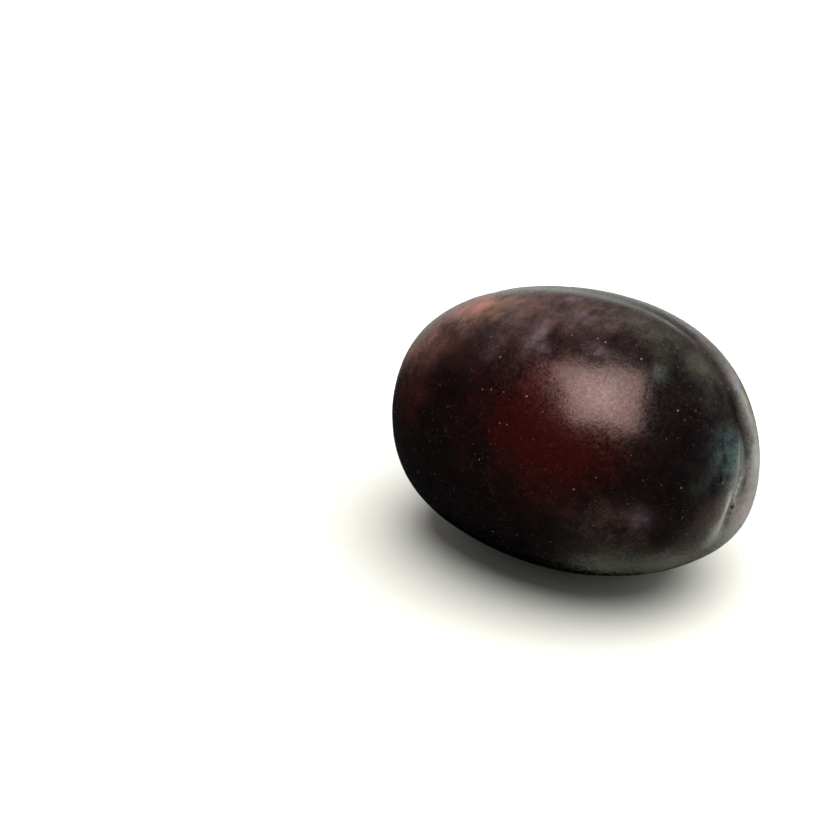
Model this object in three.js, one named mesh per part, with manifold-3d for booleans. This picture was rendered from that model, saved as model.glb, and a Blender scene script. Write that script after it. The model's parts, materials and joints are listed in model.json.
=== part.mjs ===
// A ripe oval plum, lying on its side: one solid fruit with its suture, stalk cavity, stalk scar and tip.
// Millimetres, +Z up. It rests on a small flat spot at z = 0, and +X runs along it towards the stalk end.
import * as THREE from "three";
import { mergeVertices } from "three/addons/utils/BufferGeometryUtils.js";
import Module from "manifold-3d";

// Driving dimensions of the fruit
const halfLength = 30.7; // from the middle to either end, before the stalk cavity dips in
const halfDepth = 22.5; // from the middle to the suture, at the widest section
const cheekRatio = 0.977; // half width across the cheeks, over the half depth
const endTaper = { square: 0.084, cube: -0.117 }; // how the girth leaves a plain ellipsoid's
const shoulder = 0.164; // the share by which the suture side swells towards the stalk end
const bow = 1.29; // the middle of the fruit bows out towards the suture by this much

// The stalk cavity, a shallow funnel turned a little off the suture, and the scar at its foot
const cavity = { depth: 2.35, length: 4.8, width: 3.45, turn: THREE.MathUtils.degToRad(16) };
const scar = { radius: 0.9, height: 0.35, edge: 0.22, pitDepth: 0.3, pitRadius: 0.42 };

// The suture, a groove from the stalk cavity to the tip, with a swollen lip along each side
const suture = { depth: 0.2, stalkDepth: 0.64, deepest: 0.1, stalkReach: 0.115, width: 2.1, endGap: 2.2 };
const lip = { height: 0.12, tipShare: 0.4, away: 5.4, width: 3 };
const backCrease = { depth: 0.4, away: 3.2, reach: 2.6, width: 1.3 }; // runs on past the scar

// The tip at the far end: a dry point in a faint dimple
const tip = { dimpleDepth: 0.5, dimpleRadius: 3.4, height: 0.55, radius: 0.75 };

// Shallow swells of the flesh: height, waves round the fruit, waves along it and where they start
const swells = [
  { height: 0.13, round: 2, along: 2, start: 4.47 },
  { height: 0.11, round: 3, along: 2, start: 1.29 },
  { height: 0.05, round: 5, along: 3, start: 0.52 },
];

// How the fruit lies, and the flat spot it lies on
const stalkDip = THREE.MathUtils.degToRad(5); // the stalk end dips below level
const sutureTurn = THREE.MathUtils.degToRad(19); // the suture leans from straight up towards +Y
const flatSpot = { depth: 0.42, room: 60 }; // how far the skin is cut back there, and a width that spans it

// The mesh: segments round the fruit and rings along it, drawn together at the suture and at both ends
const segmentsRound = 96;
const ringsAlong = 52;
const drawnToSuture = 0.4;
const drawnToEnds = 0.65;

const wasm = await Module();
wasm.setup();

// A bell curve: 1 at no distance and close to 0 from about twice the width.
function bell(distance, width) {
  return Math.exp(-((distance / width) ** 2));
}

// Point of the smooth fruit. theta runs from the stalk end (0) to the tip (PI), phi round it from the suture.
function fleshPoint(theta, phi) {
  const toStalk = Math.cos(theta);
  const taper = 1 + toStalk ** 2 * (endTaper.square + toStalk * endTaper.cube);
  const girth = halfDepth * Math.sin(theta) * taper;
  const push = shoulder * toStalk * girth * Math.cos(phi) ** 2 + bow * (Math.sin(theta) ** 2 - 0.5);
  const point = new THREE.Vector3(
    halfLength * toStalk,
    girth * Math.sin(phi) * cheekRatio,
    girth * Math.cos(phi) + push,
  );
  return { girth, point };
}

// phi as the turned stalk cavity counts it, from -PI to PI.
function turned(phi) {
  return THREE.MathUtils.euclideanModulo(phi - cavity.turn + Math.PI, 2 * Math.PI) - Math.PI;
}

// Height of the skin over the smooth fruit: the suture with its lips, the crease past the scar and the swells.
function reliefHeight(theta, phi, girth) {
  const stalkShare = bell(theta / Math.PI - suture.deepest, suture.stalkReach);
  const fromSuture = girth * Math.abs(phi);
  const groove = (suture.depth + suture.stalkDepth * stalkShare) * bell(fromSuture, suture.width);
  const lipShare = THREE.MathUtils.lerp(lip.tipShare, 1, stalkShare);
  const lips = lip.height * lipShare * bell(fromSuture - lip.away, lip.width);
  const fromBack = girth * (Math.PI - Math.abs(turned(phi)));
  const creaseShare = bell(girth - backCrease.away, backCrease.reach) * bell(fromBack, backCrease.width);
  let height = (lips - groove) * (1 - bell(girth, suture.endGap));
  if (theta < Math.PI / 2) height -= backCrease.depth * creaseShare;
  for (const swell of swells) {
    const wave = Math.sin(swell.round * phi + swell.start) * Math.sin(swell.along * theta + swell.start);
    height += swell.height * Math.sin(theta) ** 2 * wave;
  }
  return height;
}

// How far the stalk cavity with its scar, or the tip in its dimple, moves the skin along the fruit.
function endShift(theta, phi, girth) {
  if (theta > Math.PI / 2) {
    return tip.dimpleDepth * bell(girth, tip.dimpleRadius) - tip.height * bell(girth, tip.radius);
  }
  const along = (girth * Math.cos(turned(phi))) / cavity.length;
  const across = (girth * Math.sin(turned(phi))) / cavity.width;
  const funnel = cavity.depth * bell(Math.hypot(along, across), 1);
  const plate = scar.height * (1 - THREE.MathUtils.smoothstep(girth, scar.radius, scar.radius + scar.edge));
  return plate - funnel - scar.pitDepth * bell(girth, scar.pitRadius);
}

// Point of the skin, with its relief standing square to the smooth fruit.
function skinPoint(theta, phi) {
  const { girth, point } = fleshPoint(theta, phi);
  const outward = new THREE.Vector3(
    point.x / halfLength ** 2,
    point.y / (halfDepth * cheekRatio) ** 2,
    point.z / halfDepth ** 2,
  ).normalize();
  point.addScaledVector(outward, reliefHeight(theta, phi, girth));
  point.x += endShift(theta, phi, girth);
  return point;
}

// A geometry of bare, shared corners, which is what makes a body closed.
function closed(geometry) {
  geometry.deleteAttribute("normal");
  geometry.deleteAttribute("uv");
  return mergeVertices(geometry, 1e-4);
}

// A unit ball whose poles become the two ends. Its rings and segments move closer where the detail is.
function plumGeometry() {
  const ball = new THREE.SphereGeometry(1, segmentsRound, ringsAlong);
  const position = ball.getAttribute("position");
  const direction = new THREE.Vector3();
  for (let i = 0; i < position.count; i += 1) {
    direction.fromBufferAttribute(position, i);
    const evenTheta = Math.acos(THREE.MathUtils.clamp(direction.y, -1, 1));
    const evenPhi = Math.atan2(-direction.x, direction.z);
    const theta = evenTheta - (drawnToEnds * Math.sin(2 * evenTheta)) / 2;
    const phi = evenPhi - drawnToSuture * Math.sin(evenPhi);
    position.setXYZ(i, ...skinPoint(theta, phi).toArray());
  }
  return closed(ball);
}

// Lays the fruit down over the origin, sunk below z = 0 by the depth of its flat spot.
function layDown(geometry) {
  geometry.rotateX(-sutureTurn);
  geometry.rotateY(stalkDip);
  geometry.computeBoundingBox();
  const { min, max } = geometry.boundingBox;
  return geometry.translate(-(min.x + max.x) / 2, -(min.y + max.y) / 2, -min.z - flatSpot.depth);
}

function toSolid(geometry) {
  const vertProperties = Float32Array.from(geometry.getAttribute("position").array);
  const triVerts = Uint32Array.from(geometry.getIndex().array);
  return new wasm.Manifold(new wasm.Mesh({ numProp: 3, vertProperties, triVerts }));
}

function toGeometry(solid) {
  const { vertProperties, triVerts } = solid.getMesh();
  const geometry = new THREE.BufferGeometry();
  geometry.setAttribute("position", new THREE.BufferAttribute(Float32Array.from(vertProperties), 3));
  geometry.setIndex(new THREE.BufferAttribute(Uint32Array.from(triVerts), 1));
  geometry.computeVertexNormals();
  return geometry;
}

// A block with its top at z = 0, which takes away the sunk part of the fruit.
const block = new THREE.BoxGeometry(flatSpot.room, flatSpot.room, flatSpot.room);
const underfoot = closed(block.translate(0, 0, -flatSpot.room / 2));
const fruitBody = toSolid(layDown(plumGeometry())).subtract(toSolid(underfoot));

const skin = new THREE.MeshStandardMaterial({ name: "skin", color: 0x34151a, roughness: 0.42, metalness: 0 });

const plum = new THREE.Mesh(toGeometry(fruitBody), skin);
plum.name = "plum";

const fruit = new THREE.Group();
fruit.name = "whole_plum";
fruit.add(plum);

export default fruit;
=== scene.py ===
import json
import math

import bpy
from mathutils import Matrix, Vector

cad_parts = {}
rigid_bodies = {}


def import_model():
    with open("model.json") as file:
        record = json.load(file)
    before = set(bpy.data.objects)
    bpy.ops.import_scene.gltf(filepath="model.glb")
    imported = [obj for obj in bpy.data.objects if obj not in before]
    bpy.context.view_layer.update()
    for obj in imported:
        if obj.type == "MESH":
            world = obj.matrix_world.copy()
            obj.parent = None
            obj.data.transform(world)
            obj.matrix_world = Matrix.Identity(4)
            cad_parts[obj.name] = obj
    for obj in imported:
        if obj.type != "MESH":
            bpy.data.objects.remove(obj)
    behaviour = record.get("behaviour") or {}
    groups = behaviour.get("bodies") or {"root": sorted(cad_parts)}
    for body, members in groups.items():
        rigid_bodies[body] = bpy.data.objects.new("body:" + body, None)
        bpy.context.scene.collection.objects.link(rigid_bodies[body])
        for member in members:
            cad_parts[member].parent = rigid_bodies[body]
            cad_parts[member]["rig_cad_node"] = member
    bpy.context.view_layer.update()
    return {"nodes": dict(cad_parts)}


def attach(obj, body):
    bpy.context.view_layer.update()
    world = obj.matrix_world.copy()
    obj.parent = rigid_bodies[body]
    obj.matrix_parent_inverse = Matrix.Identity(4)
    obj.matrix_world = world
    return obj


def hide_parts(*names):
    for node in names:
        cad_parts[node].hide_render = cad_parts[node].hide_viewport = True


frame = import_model()
print("frame loaded:", ", ".join(sorted(frame["nodes"])))


# Small helpers for shader trees. A Wire is a socket that sums are written with: each operator adds a node.
class Wire:
    def __init__(self, tree, socket):
        self.tree = tree
        self.socket = socket

    def maths(self, operation, *values):
        return self.tree.add("ShaderNodeMath", {"operation": operation}, dict(enumerate(values)))

    def __add__(self, other):
        return self.maths("ADD", self, other)

    def __radd__(self, other):
        return self.maths("ADD", other, self)

    def __sub__(self, other):
        return self.maths("SUBTRACT", self, other)

    def __rsub__(self, other):
        return self.maths("SUBTRACT", other, self)

    def __mul__(self, other):
        return self.maths("MULTIPLY", self, other)

    def __rmul__(self, other):
        return self.maths("MULTIPLY", other, self)

    def __pow__(self, other):
        return self.maths("POWER", self, other)

    def __rpow__(self, other):
        return self.maths("POWER", other, self)

    def atLeast(self, other):
        return self.maths("MAXIMUM", self, other)

    # Another output of the node that this wire comes from.
    def beside(self, output):
        return Wire(self.tree, self.socket.node.outputs[output])

    # From 0 at the first edge to 1 at the second, which may be the lower one, with a soft step between.
    def step(self, first, second):
        settings = {"interpolation_type": "SMOOTHSTEP"}
        edges = {"Value": self, "From Min": min(first, second), "From Max": max(first, second)}
        rise = self.tree.add("ShaderNodeMapRange", settings, edges)
        return 1 - rise if first > second else rise


# The emptied nodes of a material or world. Each new one is added by its type, its settings and its sockets'
# values or wires.
class Tree:
    def __init__(self, owner):
        owner.use_nodes = True
        self.inside = owner.node_tree
        self.inside.nodes.clear()

    def add(self, kind, settings=None, sockets=None, output=0):
        node = self.inside.nodes.new(kind)
        for name, value in (settings or {}).items():
            setattr(node, name, value)
        for name, value in (sockets or {}).items():
            if isinstance(value, Wire):
                self.inside.links.new(value.socket, node.inputs[name])
            else:
                node.inputs[name].default_value = value
        return Wire(self, node.outputs[output]) if len(node.outputs) else node

    # Mix of two colours, by a share or a wire.
    def blend(self, share, first, second):
        return self.add("ShaderNodeMix", {"data_type": "RGBA"}, {0: share, 6: first, 7: second}, output=2)

    def noise(self, place, size, detail=2, rough=0.5, distortion=0):
        sockets = {"Vector": place, "Scale": 1 / size, "Detail": detail, "Roughness": rough}
        sockets["Distortion"] = distortion
        return self.add("ShaderNodeTexNoise", None, sockets)

    # Distance to the nearest of scattered points. Beside it, each point's own colour.
    def cells(self, place, size):
        return self.add("ShaderNodeTexVoronoi", {"feature": "F1"}, {"Vector": place, "Scale": 1 / size})

    def vector(self, operation, *values, output=0):
        return self.add("ShaderNodeVectorMath", {"operation": operation}, dict(enumerate(values)), output)

    def distance(self, place, other):
        return self.vector("DISTANCE", place, other, output=1)

    def axis(self, place, index):
        return self.add("ShaderNodeSeparateXYZ", None, {0: place}, output=index)


# The camera: how it is turned, where it aims and how far off it stands, in metres
cameraView = {
    "azimuth": 35.8,
    "elevation": 32,
    "distance": 0.5742,
    "aim": (0, 0, 0.022),
    "aimRight": -0.02497,
    "aimUp": 0.00159,
    "framePixels": 834,
    "focalPixels": 3666,
    "sensorMm": 36,
}


def viewAxes(azimuth, elevation):
    a = math.radians(azimuth)
    e = math.radians(elevation)
    right = Vector((math.cos(a), math.sin(a), 0))
    back = Vector((math.sin(a) * math.cos(e), -math.cos(a) * math.cos(e), math.sin(e)))
    return right, back.cross(right), back


def makeCamera():
    right, up, back = viewAxes(cameraView["azimuth"], cameraView["elevation"])
    bpy.ops.object.camera_add()
    camera = bpy.context.active_object
    camera.name = "camera"
    camera.data.sensor_width = cameraView["sensorMm"]
    camera.data.lens = cameraView["focalPixels"] / cameraView["framePixels"] * cameraView["sensorMm"]
    place = Vector(cameraView["aim"]) + right * cameraView["aimRight"] + up * cameraView["aimUp"]
    turn = Matrix((right, up, back)).transposed().to_4x4()
    camera.matrix_world = Matrix.Translation(place + back * cameraView["distance"]) @ turn
    bpy.context.scene.camera = camera


makeCamera()
print("camera made")


# The soft box, with its hot centre, makes the highlight and nothing else. Sizes are in metres. Each panel
# hangs in front of the last and adds to its light.
softBox = {
    "azimuth": 14.6,
    "elevation": 64,
    "aim": (0.008, -0.008, 0.036),
    "turn": (-10.6, 13.9, 13.3),
    "panels": [
        {"distance": 1.2, "lower": 0, "width": 0.94, "height": 1, "radiance": 5.4},
        {"distance": 1.18, "lower": 0.02, "width": 0.66, "height": 0.72, "radiance": 1.4},
        {"distance": 1.16, "lower": 0.07, "width": 0.3, "height": 0.46, "radiance": 2.8},
    ],
}
# The suns are wide and soft. They light the fruit and the floor from above and from the right, cast the
# shadow and show in no reflection.
suns = [
    {"azimuth": 128, "elevation": 77, "spread": 74, "power": 6},
    {"azimuth": 122, "elevation": 32, "spread": 60, "power": 0.8},
    {"azimuth": 0, "elevation": 90, "spread": 170, "power": 0.6},
]


# Adds a light that faces the origin from an azimuth and elevation.
def placeLight(kind, name, azimuth, elevation):
    right, up, back = viewAxes(azimuth, elevation)
    bpy.ops.object.light_add(type=kind)
    light = bpy.context.active_object
    light.name = name
    light.matrix_world = Matrix.Translation(back) @ Matrix((right, up, back)).transposed().to_4x4()
    return light


def makeSoftBox():
    right, up, back = viewAxes(softBox["azimuth"], softBox["elevation"])
    tip, swing, roll = (math.radians(angle) for angle in softBox["turn"])
    turn = Matrix.Rotation(swing, 4, "Y") @ Matrix.Rotation(tip, 4, "X") @ Matrix.Rotation(roll, 4, "Z")
    for panel in softBox["panels"]:
        light = placeLight("AREA", "soft_box", softBox["azimuth"], softBox["elevation"])
        light.matrix_world @= turn
        place = Vector(softBox["aim"]) + back * panel["distance"] - up * panel["lower"]
        light.matrix_world.translation = place
        light.data.shape = "RECTANGLE"
        light.data.size = panel["width"]
        light.data.size_y = panel["height"]
        light.data.energy = panel["radiance"] * math.pi * panel["width"] * panel["height"]
        light.visible_diffuse = False


def makeSuns():
    for sun in suns:
        light = placeLight("SUN", "sun", sun["azimuth"], sun["elevation"])
        light.data.angle = math.radians(sun["spread"])
        light.data.energy = sun["power"]
        light.visible_glossy = False


# The room is white where it is seen. What the fruit reflects of it is dark, with a warm low band on the far
# side and a dimmer glow beside and above that.
room = {
    "darkest": 0.01,
    "band": {"azimuth": 196, "edge": (0.5, 0.98), "top": 0.22, "bottom": -0.02, "light": 0.4},
    "glow": {"azimuth": 228, "elevation": 20, "edge": (0.35, 1.05), "light": 0.25},
    "warm": (1, 0.86, 0.78, 1),
    "white": (1, 1, 1, 1),
    "backdrop": 1.2,
}
# The floor is white too, and dark in reflections, with a bright spot beside the stalk end and a brighter far
# side.
floorLook = {
    "size": 8,
    "white": (0.64, 0.64, 0.59, 1),
    "reflectedDark": (0.009, 0.009, 0.009, 1),
    "reflectedBright": (0.43, 0.46, 0.44, 1),
    "brightAt": (0.07, 0.039, 0),
    "brightEdge": (0.068, 0.03),
    "farAzimuth": 214,
    "farEdge": (0.72, 1),
    "farShare": 0.6,
}


# How squarely a direction points to an azimuth and elevation: 1 is straight there.
def pointsTo(tree, direction, azimuth, elevation=0):
    return tree.vector("DOT_PRODUCT", direction, viewAxes(azimuth, elevation)[2], output=1)


def makeRoom():
    world = bpy.data.worlds.new("room")
    tree = Tree(world)
    band, glow = room["band"], room["glow"]
    direction = tree.add("ShaderNodeTexCoord")
    low = tree.axis(direction, 2).step(band["top"], band["bottom"])
    bandLight = pointsTo(tree, direction, band["azimuth"]).step(*band["edge"]) * low * band["light"]
    glowShare = pointsTo(tree, direction, glow["azimuth"], glow["elevation"]).step(*glow["edge"])
    light = room["darkest"] + bandLight.atLeast(glowShare * glow["light"])
    seen = tree.add("ShaderNodeLightPath").beside("Is Camera Ray")
    strength = light + (room["backdrop"] - light) * seen
    colour = tree.blend(seen, room["warm"], room["white"])
    background = tree.add("ShaderNodeBackground", None, {"Color": colour, "Strength": strength})
    tree.add("ShaderNodeOutputWorld", None, {"Surface": background})
    bpy.context.scene.world = world


def makeFloor():
    bpy.ops.mesh.primitive_plane_add(size=floorLook["size"])
    floor = bpy.context.active_object
    floor.name = "floor"
    material = bpy.data.materials.new("floor_white")
    tree = Tree(material)
    place = tree.add("ShaderNodeTexCoord").beside("Object")
    brightSpot = tree.distance(place, floorLook["brightAt"]).step(*floorLook["brightEdge"])
    outwards = tree.vector("NORMALIZE", place)
    farSide = pointsTo(tree, outwards, floorLook["farAzimuth"]).step(*floorLook["farEdge"])
    bright = brightSpot.atLeast(farSide * floorLook["farShare"])
    reflected = tree.blend(bright, floorLook["reflectedDark"], floorLook["reflectedBright"])
    inReflection = tree.add("ShaderNodeLightPath").beside("Is Glossy Ray")
    colour = tree.blend(inReflection, floorLook["white"], reflected)
    surface = tree.add("ShaderNodeBsdfDiffuse", None, {"Color": colour})
    tree.add("ShaderNodeOutputMaterial", None, {"Surface": surface})
    floor.data.materials.append(material)


makeSoftBox()
makeSuns()
makeRoom()
makeFloor()
bpy.context.scene.view_settings.view_transform = "Standard"
print("studio made")


# How the fruit lies in the frame: its middle in metres, and the degrees by which its stalk end dips and its
# suture leans over
fruitLie = {"middle": (0.00041, -0.0003, 0.0212), "stalkDip": 5, "sutureTurn": 19}

# The mesh of the skin, in metres: the solid's facets smoothed, with low swells and finer ripples
plumShape = {
    "mergeGap": 0.00002,
    "quadAngle": 40,  # two facets make one quad where they bend less than this, in degrees
    "quadSkew": 60,  # and where its corners are no further than this from square
    "subdivisions": 2,
    "swellSize": 0.009,
    "swellHeight": 0.00016,
    "rippleSize": 0.0032,
    "rippleHeight": 0.00004,
}


# Pushes the piece's surface in and out by half the height, in soft clouds of about the size given.
def roughen(piece, name, size, height):
    cloud = bpy.data.textures.new(name, "CLOUDS")
    cloud.noise_scale = size
    cloud.noise_depth = 2
    push = piece.modifiers.new(name, "DISPLACE")
    push.texture = cloud
    push.texture_coords = "LOCAL"
    push.strength = height
    bpy.ops.object.modifier_apply(modifier=name)


def makePlumBody():
    bpy.ops.object.select_all(action="DESELECT")
    node = frame["nodes"]["plum"]
    node.select_set(True)
    bpy.context.view_layer.objects.active = node
    bpy.ops.object.duplicate()
    plum = bpy.context.active_object
    plum.name = "plum_skin"
    del plum["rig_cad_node"]
    bpy.ops.object.mode_set(mode="EDIT")
    bpy.ops.mesh.select_all(action="SELECT")
    bpy.ops.mesh.remove_doubles(threshold=plumShape["mergeGap"])
    bend, skew = math.radians(plumShape["quadAngle"]), math.radians(plumShape["quadSkew"])
    bpy.ops.mesh.tris_convert_to_quads(face_threshold=bend, shape_threshold=skew)
    bpy.ops.object.mode_set(mode="OBJECT")
    smooth = plum.modifiers.new("smooth", "SUBSURF")
    smooth.levels = plumShape["subdivisions"]
    smooth.render_levels = plumShape["subdivisions"]
    bpy.ops.object.modifier_apply(modifier="smooth")
    roughen(plum, "swells", plumShape["swellSize"], plumShape["swellHeight"])
    roughen(plum, "ripples", plumShape["rippleSize"], plumShape["rippleHeight"])
    bpy.ops.object.shade_smooth()
    return plum


# The skin's finish, with painted light among its bloom. Sizes and places are in millimetres, along the
# fruit's own axes
# from its middle: towards the stalk, towards the far cheek and up to the suture. Colours are linear. The
# patterns are noises around 0, and the mixes say how much of each goes into the redness, the bare skin's
# shade, the bloom with its painted light, and the gloss.
skinLook = {
    "patterns": {
        "wander": {"size": 5, "detail": 3, "rough": 0.6},  # carries the patches out of shape
        "clouds": {"size": 9},
        "smudges": {"size": 3.6, "detail": 3, "rough": 0.55, "distortion": 0.4},
        "wipes": {"size": 1.3},
        "mottle": {"size": 0.9},
    },
    "wipeStretch": (1, 0.35, 0.35),  # draws the wipes out round the fruit
    "pebbleSize": 0.32,
    "mixes": {
        "redness": {"clouds": 2, "smudges": 1.2, "grain": 0.5},
        "shade": {"grain": 0.2, "mottle": 0.4},
        "bloomAndPaintedLight": {"smudges": 3.4, "wipes": 1.8, "mottle": 1.1, "grain": 0.25},
        "gloss": {"grain": 0.08, "mottle": 0.12, "smudges": 0.12},
    },
    "maroon": (0.022, 0.002, 0.0018, 1),
    "blueBlack": (0.0024, 0.0012, 0.0015, 1),
    "redDrift": 11,
    "redEdge": (0.1, 0.85),
    "redPatches": [
        {"at": (4, -21, 5), "reach": (24, 20, 20), "share": 0.95},
        {"at": (-22, -14, 4), "reach": (18, 20, 20), "share": 0.6},
        {"at": (14, 7, 18), "reach": (15, 8, 11), "share": 0.7},
        {"at": (-8, 18, -8), "reach": (26, 20, 22), "share": 0.7},
    ],
    "darkestShade": 0.3,
    "thinBloom": 0.012,  # lies on all the blue-black skin
    "thinnestBloom": 0.05,
    "hueSpread": 0.7,
    "roughness": 0.22,
    "bloomRoughness": 0.45,
    "reliefHeight": 0.00001,
    "mottleRelief": 1.5,
    "pebbleRelief": 0.8,
    "specularLevel": 0.43,
    "specularTint": (1, 0.6, 0.53, 1),
    "coat": 0.13,
    "coatGrain": 0.44,
    "coatRoughness": 0.25,
}
# The bloom, one layer over the other, with layers of painted light among them, as marked. Each has a colour,
# how evenly it lies (0 is all smudges), how far its patches drift out of shape, in millimetres, and the
# patches themselves.
bloomAndPaintedLightLayers = {
    "farSide": {
        "colour": (0.11, 0.085, 0.083, 1),
        "even": 0.2,
        "drift": 11,
        "patches": [{"at": (0, 17, 6), "reach": (36, 20, 26), "share": 0.4}],
    },
    "rose": {
        "colour": (0.3, 0.135, 0.105, 1),
        "even": 0.3,
        "drift": 8,
        "patches": [
            {"at": (-19, -9, 15.5), "reach": (9, 8, 7), "share": 0.7},
            {"at": (-24, -12, 8), "reach": (9, 9, 9), "share": 0.35},
        ],
    },
    "grey": {
        "colour": (0.125, 0.072, 0.066, 1),
        "even": 0.15,
        "drift": 9,
        "patches": [
            {"at": (-12, -9, 18), "reach": (15, 12, 12), "share": 0.42},
            {"at": (0, -8, 20), "reach": (12, 9, 8), "share": 0.34},
        ],
    },
    "brown": {
        "colour": (0.1, 0.065, 0.055, 1),
        "even": 0.15,
        "drift": 6,
        "patches": [{"at": (18, -16.5, -6), "reach": (10, 8, 6), "share": 0.28}],
    },
    "green": {
        "colour": (0.078, 0.084, 0.064, 1),
        "even": 0.25,
        "drift": 6,
        "patches": [
            {"at": (10, -5, 21), "reach": (10, 6, 8), "share": 0.3},
            {"at": (18, -4, 18), "reach": (9, 5, 9), "share": 0.28},
        ],
    },
    # A smooth green-grey band on the underside: partly bloom, partly painted reflection and bounce of the lit
    # floor.
    "undersideBloomAndPaintedReflection": {
        "colour": (0.14, 0.147, 0.118, 1),
        "even": 0.85,
        "drift": 4,
        "patches": [
            {"at": (25.5, -7, -12.3), "reach": (13, 9.5, 9), "share": 0.72},
            {"at": (18, -11.5, -14.5), "reach": (11, 8.5, 8), "share": 0.52},
        ],
    },
    "teal": {
        "colour": (0.068, 0.108, 0.103, 1),
        "even": 0.1,
        "drift": 6,
        "patches": [
            {"at": (27.5, -4.2, 8.4), "reach": (5, 5.5, 7), "share": 0.46},
            {"at": (26, -8.5, 4), "reach": (4, 4, 5), "share": 0.1},
        ],
    },
    # Pale grey-green patches round the stalk end: partly bloom, partly painted rim light from the white
    # floor.
    "paleBloomAndRimLight": {
        "colour": (0.155, 0.163, 0.15, 1),
        "even": 0.35,
        "drift": 3,
        "patches": [
            {"at": (30, 4, -6), "reach": (10, 12, 13), "share": 0.5},
            {"at": (24, 10, 9), "reach": (12, 8, 16), "share": 0.4},
            {"at": (29.6, -4.2, -3.4), "reach": (5, 3.2, 7), "share": 0.65},
        ],
    },
    # The pale band along the far lip: partly bloom, partly painted rim light from the white floor.
    "farLipBloomAndRimLight": {
        "colour": (0.26, 0.25, 0.232, 1),
        "even": 0.58,
        "drift": 2.2,
        "patches": [
            {"at": (25, 3.8, 9), "reach": (28, 3.8, 30), "share": 0.78},
            {"at": (30, 7.4, -1), "reach": (6, 6, 10), "share": 0.5},
        ],
    },
    "purpleMarks": {
        "colour": (0.17, 0.11, 0.13, 1),
        "even": 0.3,
        "drift": 2,
        "patches": [
            {"at": (-4.2, -14.6, 17.2), "reach": (1.9, 6, 6), "share": 0.4},
            {"at": (-2.2, -16.2, 15.8), "reach": (2.4, 1.8, 1.8), "share": 0.25},
            {"at": (-0.8, -9.3, 20.9), "reach": (2.2, 2.4, 2), "share": 0.3},
            {"at": (6, -13.4, 18.6), "reach": (3, 2, 2), "share": 0.2},
            {"at": (-9.6, -17.2, 12.8), "reach": (2.6, 2.6, 2.6), "share": 0.22},
            {"at": (-4.6, -5.4, 21.6), "reach": (2, 2.4, 2), "share": 0.3},
            {"at": (21.4, -15.5, -2.7), "reach": (3, 3, 3), "share": 0.2},
        ],
    },
    "tealMarks": {
        "colour": (0.13, 0.17, 0.155, 1),
        "even": 0.15,
        "drift": 3,
        "patches": [
            {"at": (15, -10.3, 18.1), "reach": (2, 3, 2), "share": 0.24},
            {"at": (28.2, -3.5, 10), "reach": (2, 2.5, 3), "share": 0.35},
        ],
    },
    # Pale streaks on the crests by the stalk end and along the suture: painted glints.
    "paintedGlints": {
        "colour": (0.34, 0.36, 0.33, 1),
        "even": 0.45,
        "drift": 0.8,
        "patches": [
            {"at": (29.6, -4.1, 0.8), "reach": (2.4, 1.2, 6.5), "share": 0.44},
            {"at": (28.4, 0.7, 2.8), "reach": (2, 0.95, 3.6), "share": 0.66},
            {"at": (10.4, -0.5, 22.6), "reach": (8, 1, 2.6), "share": 0.16},
        ],
    },
}
# Places where the bloom is rubbed off, of every layer. The strips along the suture groove are painted shade.
rubbedOffAndGrooveShade = {
    "drift": 2,
    "patches": [
        {"at": (-1.9, -13.2, 18.6), "reach": (1.7, 3.6, 3.6), "share": 0.8},
        {"at": (1.8, -13.6, 18.6), "reach": (3, 1.8, 2), "share": 0.7},
        {"at": (-11.4, -14.8, 15), "reach": (3, 1.6, 2), "share": 0.6},
        {"at": (12.6, -10.4, 19), "reach": (3, 2, 2.4), "share": 0.9},
        {"at": (5, -12, 19.5), "reach": (6, 2.4, 3), "share": 0.5},
        {"at": (-9, -17, 13), "reach": (8, 3, 3), "share": 0.5},
        {"at": (23.5, -11.5, -5.6), "reach": (6, 5, 4.2), "share": 0.85},
        {"at": (15, 4, 20.5), "reach": (7, 3, 4), "share": 0.8},
        # These two bare strips darken the suture groove and its near crest: painted shade.
        {"at": (25, -0.6, 13.5), "reach": (5, 1.3, 5), "share": 0.8},
        {"at": (28.7, 1.5, 4.2), "reach": (1.2, 0.5, 2.2), "share": 0.8},
    ],
}
# Fine pale dots, one to a cell. Their radius and soft edge are shares of a cell, and most of them are faint.
dotsLook = {
    "colour": (0.26, 0.18, 0.15, 1),
    "cell": 1.2,
    "leastRadius": 0.05,
    "radiusSpread": 0.09,
    "edge": (0.06, -0.04),
    "faint": 0.07,
    "bold": 0.45,
    "boldPower": 6,
}
# The corky stalk scar with its pit, and the dry tip. Each is a round spot with a soft, ragged edge.
scarLook = {
    "cork": (0.13, 0.09, 0.065, 1),
    "dark": (0.005, 0.003, 0.003, 1),
    "corkShare": 0.65,
    "corkGrain": 1.4,
    "corkRoughness": 0.4,
    "scar": {"at": (28.6, 0.1, -0.9), "radius": 0.85, "edge": 0.12, "ragged": 0.9},
    "pit": {"at": (28.6, 0.3, -0.2), "radius": 0.525, "edge": 0.125, "ragged": 0.5},
    "dryTip": {"at": (-30.75, 0, -0.65), "radius": 0.7, "edge": 0.15, "ragged": 0.7},
}


# Where a point lies on the fruit, in millimetres.
def fruitPlace(tree):
    lie = {
        "Vector": tree.add("ShaderNodeTexCoord").beside("Object"),
        "Location": fruitLie["middle"],
        "Rotation": (math.radians(-fruitLie["sutureTurn"]), math.radians(fruitLie["stalkDip"]), 0),
        "Scale": (0.001, 0.001, 0.001),
    }
    return tree.add("ShaderNodeMapping", {"vector_type": "TEXTURE"}, lie)


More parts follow.
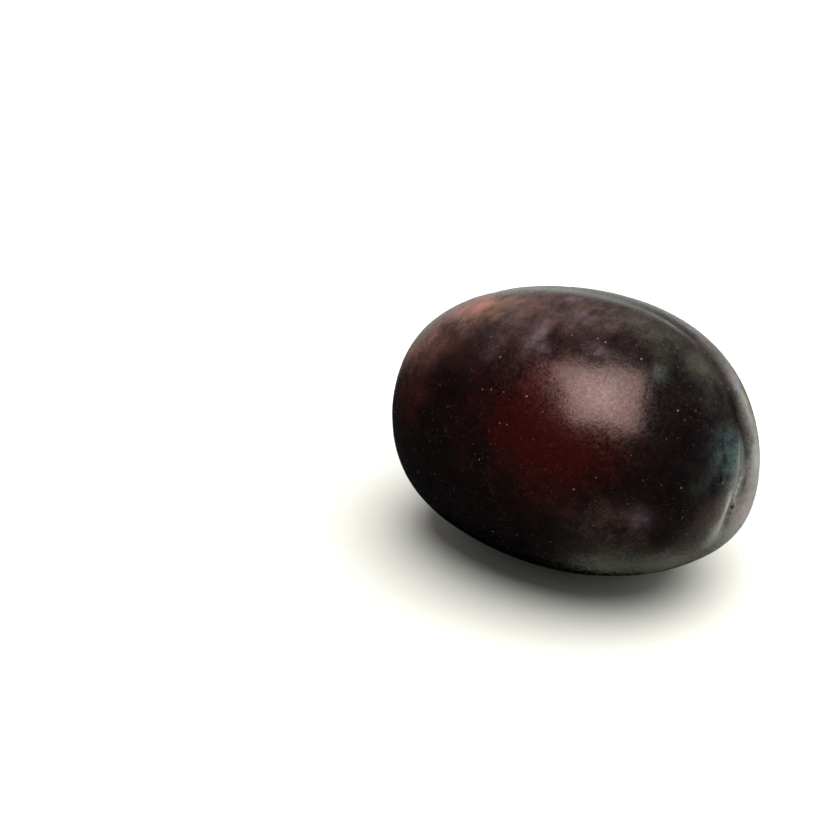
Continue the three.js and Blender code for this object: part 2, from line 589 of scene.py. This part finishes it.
# The noises that the skin's colour, bloom, gloss and relief share.
def skinPatterns(tree, place):
    sizes = skinLook["patterns"]
    smudges = tree.noise(place, **sizes["smudges"])
    drawnOut = tree.vector("MULTIPLY", place, skinLook["wipeStretch"])
    pebbles = tree.cells(place, skinLook["pebbleSize"])
    return {
        "wander": tree.noise(place, **sizes["wander"]).beside("Color"),
        "clouds": tree.noise(place, **sizes["clouds"]) - 0.5,
        "hues": smudges.beside("Color"),
        "smudges": smudges - 0.5,
        "wipes": tree.noise(drawnOut, **sizes["wipes"]) - 0.5,
        "mottle": tree.noise(place, **sizes["mottle"]) - 0.5,
        "pebbles": pebbles,
        "grain": tree.axis(pebbles.beside("Color"), 0) - 0.5,
    }


# A level with the patterns of one of the mixes added to it.
def patterned(level, patterns, mix):
    for name, strength in skinLook["mixes"][mix].items():
        level = level + patterns[name] * strength
    return level


patchFade = 0.05  # what is left of a patch's share at its reach


# An egg-shaped patch's share in its middle, fading outwards.
def patchMask(tree, place, patch):
    offset = tree.vector("SUBTRACT", place, patch["at"])
    scaled = tree.vector("DIVIDE", offset, patch["reach"])
    return patchFade ** tree.vector("DOT_PRODUCT", scaled, scaled, output=1) * patch["share"]


# The highest share of several patches, whose outlines wander by up to about half the drift, in millimetres.
def patchesMask(tree, place, wander, drift, patches):
    wandered = tree.vector("MULTIPLY_ADD", wander, (drift,) * 3, (-drift / 2,) * 3)
    wandered = tree.vector("ADD", place, wandered)
    total = patchMask(tree, wandered, patches[0])
    for patch in patches[1:]:
        total = total.atLeast(patchMask(tree, wandered, patch))
    return total


# The skin's colour under all its bloom and painted light, and how thick these lie.
def skinUnderBloomAndPaintedLight(tree, place, patterns):
    wander = patterns["wander"]
    redness = patchesMask(tree, place, wander, skinLook["redDrift"], skinLook["redPatches"])
    red = (redness * patterned(1, patterns, "redness")).step(*skinLook["redEdge"])
    bare = tree.blend(red, skinLook["blueBlack"], skinLook["maroon"])
    bare = tree.vector("MULTIPLY", bare, patterned(1, patterns, "shade").atLeast(skinLook["darkestShade"]))

    texture = patterned(1, patterns, "bloomAndPaintedLight").atLeast(skinLook["thinnestBloom"])
    spread = skinLook["hueSpread"]
    tint = tree.vector("MULTIPLY_ADD", patterns["hues"], (spread,) * 3, (1 - spread / 2,) * 3)
    kept = 1 - patchesMask(tree, place, wander, rubbedOffAndGrooveShade["drift"], rubbedOffAndGrooveShade["patches"])
    bloomAndPaintedLight = skinLook["thinBloom"] * (1 - red) * texture
    colourWithPaintedLight = tree.blend(bloomAndPaintedLight, bare, bloomAndPaintedLightLayers["farSide"]["colour"])
    for layer in bloomAndPaintedLightLayers.values():
        share = patchesMask(tree, place, wander, layer["drift"], layer["patches"])
        share = share * kept * (layer["even"] + (1 - layer["even"]) * texture)
        colourWithPaintedLight = tree.blend(share, colourWithPaintedLight, tree.vector("MULTIPLY", layer["colour"][:3], tint))
        bloomAndPaintedLight = bloomAndPaintedLight.atLeast(share)
    return colourWithPaintedLight, bloomAndPaintedLight


def addDots(tree, place, colourWithPaintedLight):
    nearest = tree.cells(place, dotsLook["cell"])
    radius = dotsLook["leastRadius"] + dotsLook["radiusSpread"] * tree.axis(nearest.beside("Color"), 0)
    strong = tree.axis(nearest.beside("Color"), 1) ** dotsLook["boldPower"]
    dots = (nearest - radius).step(*dotsLook["edge"]) * (dotsLook["faint"] + dotsLook["bold"] * strong)
    return tree.blend(dots, colourWithPaintedLight, dotsLook["colour"])


def roundSpot(tree, place, patterns, spot):
    away = tree.distance(place, spot["at"]) + patterns["mottle"] * spot["ragged"]
    return away.step(spot["radius"] + spot["edge"], spot["radius"] - spot["edge"])


# The scar, its pit and the dry tip over the skin's colour, and where the scar's cork is.
def addScar(tree, place, patterns, colourWithPaintedLight):
    corky = roundSpot(tree, place, patterns, scarLook["scar"])
    corkShade = scarLook["corkShare"] + patterns["grain"] * scarLook["corkGrain"]
    corkTone = tree.blend(corkShade, scarLook["dark"], scarLook["cork"])
    colourWithPaintedLight = tree.blend(corky, colourWithPaintedLight, corkTone)
    colourWithPaintedLight = tree.blend(roundSpot(tree, place, patterns, scarLook["pit"]), colourWithPaintedLight, scarLook["dark"])
    colourWithPaintedLight = tree.blend(roundSpot(tree, place, patterns, scarLook["dryTip"]), colourWithPaintedLight, corkTone)
    return colourWithPaintedLight, corky


def makeSkin():
    material = bpy.data.materials.new("plum_skin")
    tree = Tree(material)
    place = fruitPlace(tree)
    patterns = skinPatterns(tree, place)
    colourWithPaintedLight, bloomAndPaintedLight = skinUnderBloomAndPaintedLight(tree, place, patterns)
    colourWithPaintedLight = addDots(tree, place, colourWithPaintedLight)
    colourWithPaintedLight, corky = addScar(tree, place, patterns, colourWithPaintedLight)

    roughness = skinLook["roughness"] + (skinLook["bloomRoughness"] - skinLook["roughness"]) * bloomAndPaintedLight
    roughness = patterned(roughness, patterns, "gloss") + corky * scarLook["corkRoughness"]
    height = patterns["mottle"] * skinLook["mottleRelief"] - patterns["pebbles"] * skinLook["pebbleRelief"]
    relief = {"Strength": 1, "Distance": skinLook["reliefHeight"], "Height": height}
    shader = {
        "Base Color": colourWithPaintedLight,
        "Roughness": roughness,
        "Normal": tree.add("ShaderNodeBump", None, relief),
        "Specular IOR Level": skinLook["specularLevel"],
        "Specular Tint": skinLook["specularTint"],
        "Coat Weight": (skinLook["coat"] + patterns["grain"] * skinLook["coatGrain"]).atLeast(0),
        "Coat Roughness": skinLook["coatRoughness"],
    }
    surface = tree.add("ShaderNodeBsdfPrincipled", None, shader)
    tree.add("ShaderNodeOutputMaterial", None, {"Surface": surface})
    return material


plum = makePlumBody()
plum.data.materials.clear()
plum.data.materials.append(makeSkin())
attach(plum, "root")
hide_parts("plum")
print("plum made:", len(plum.data.polygons), "faces")
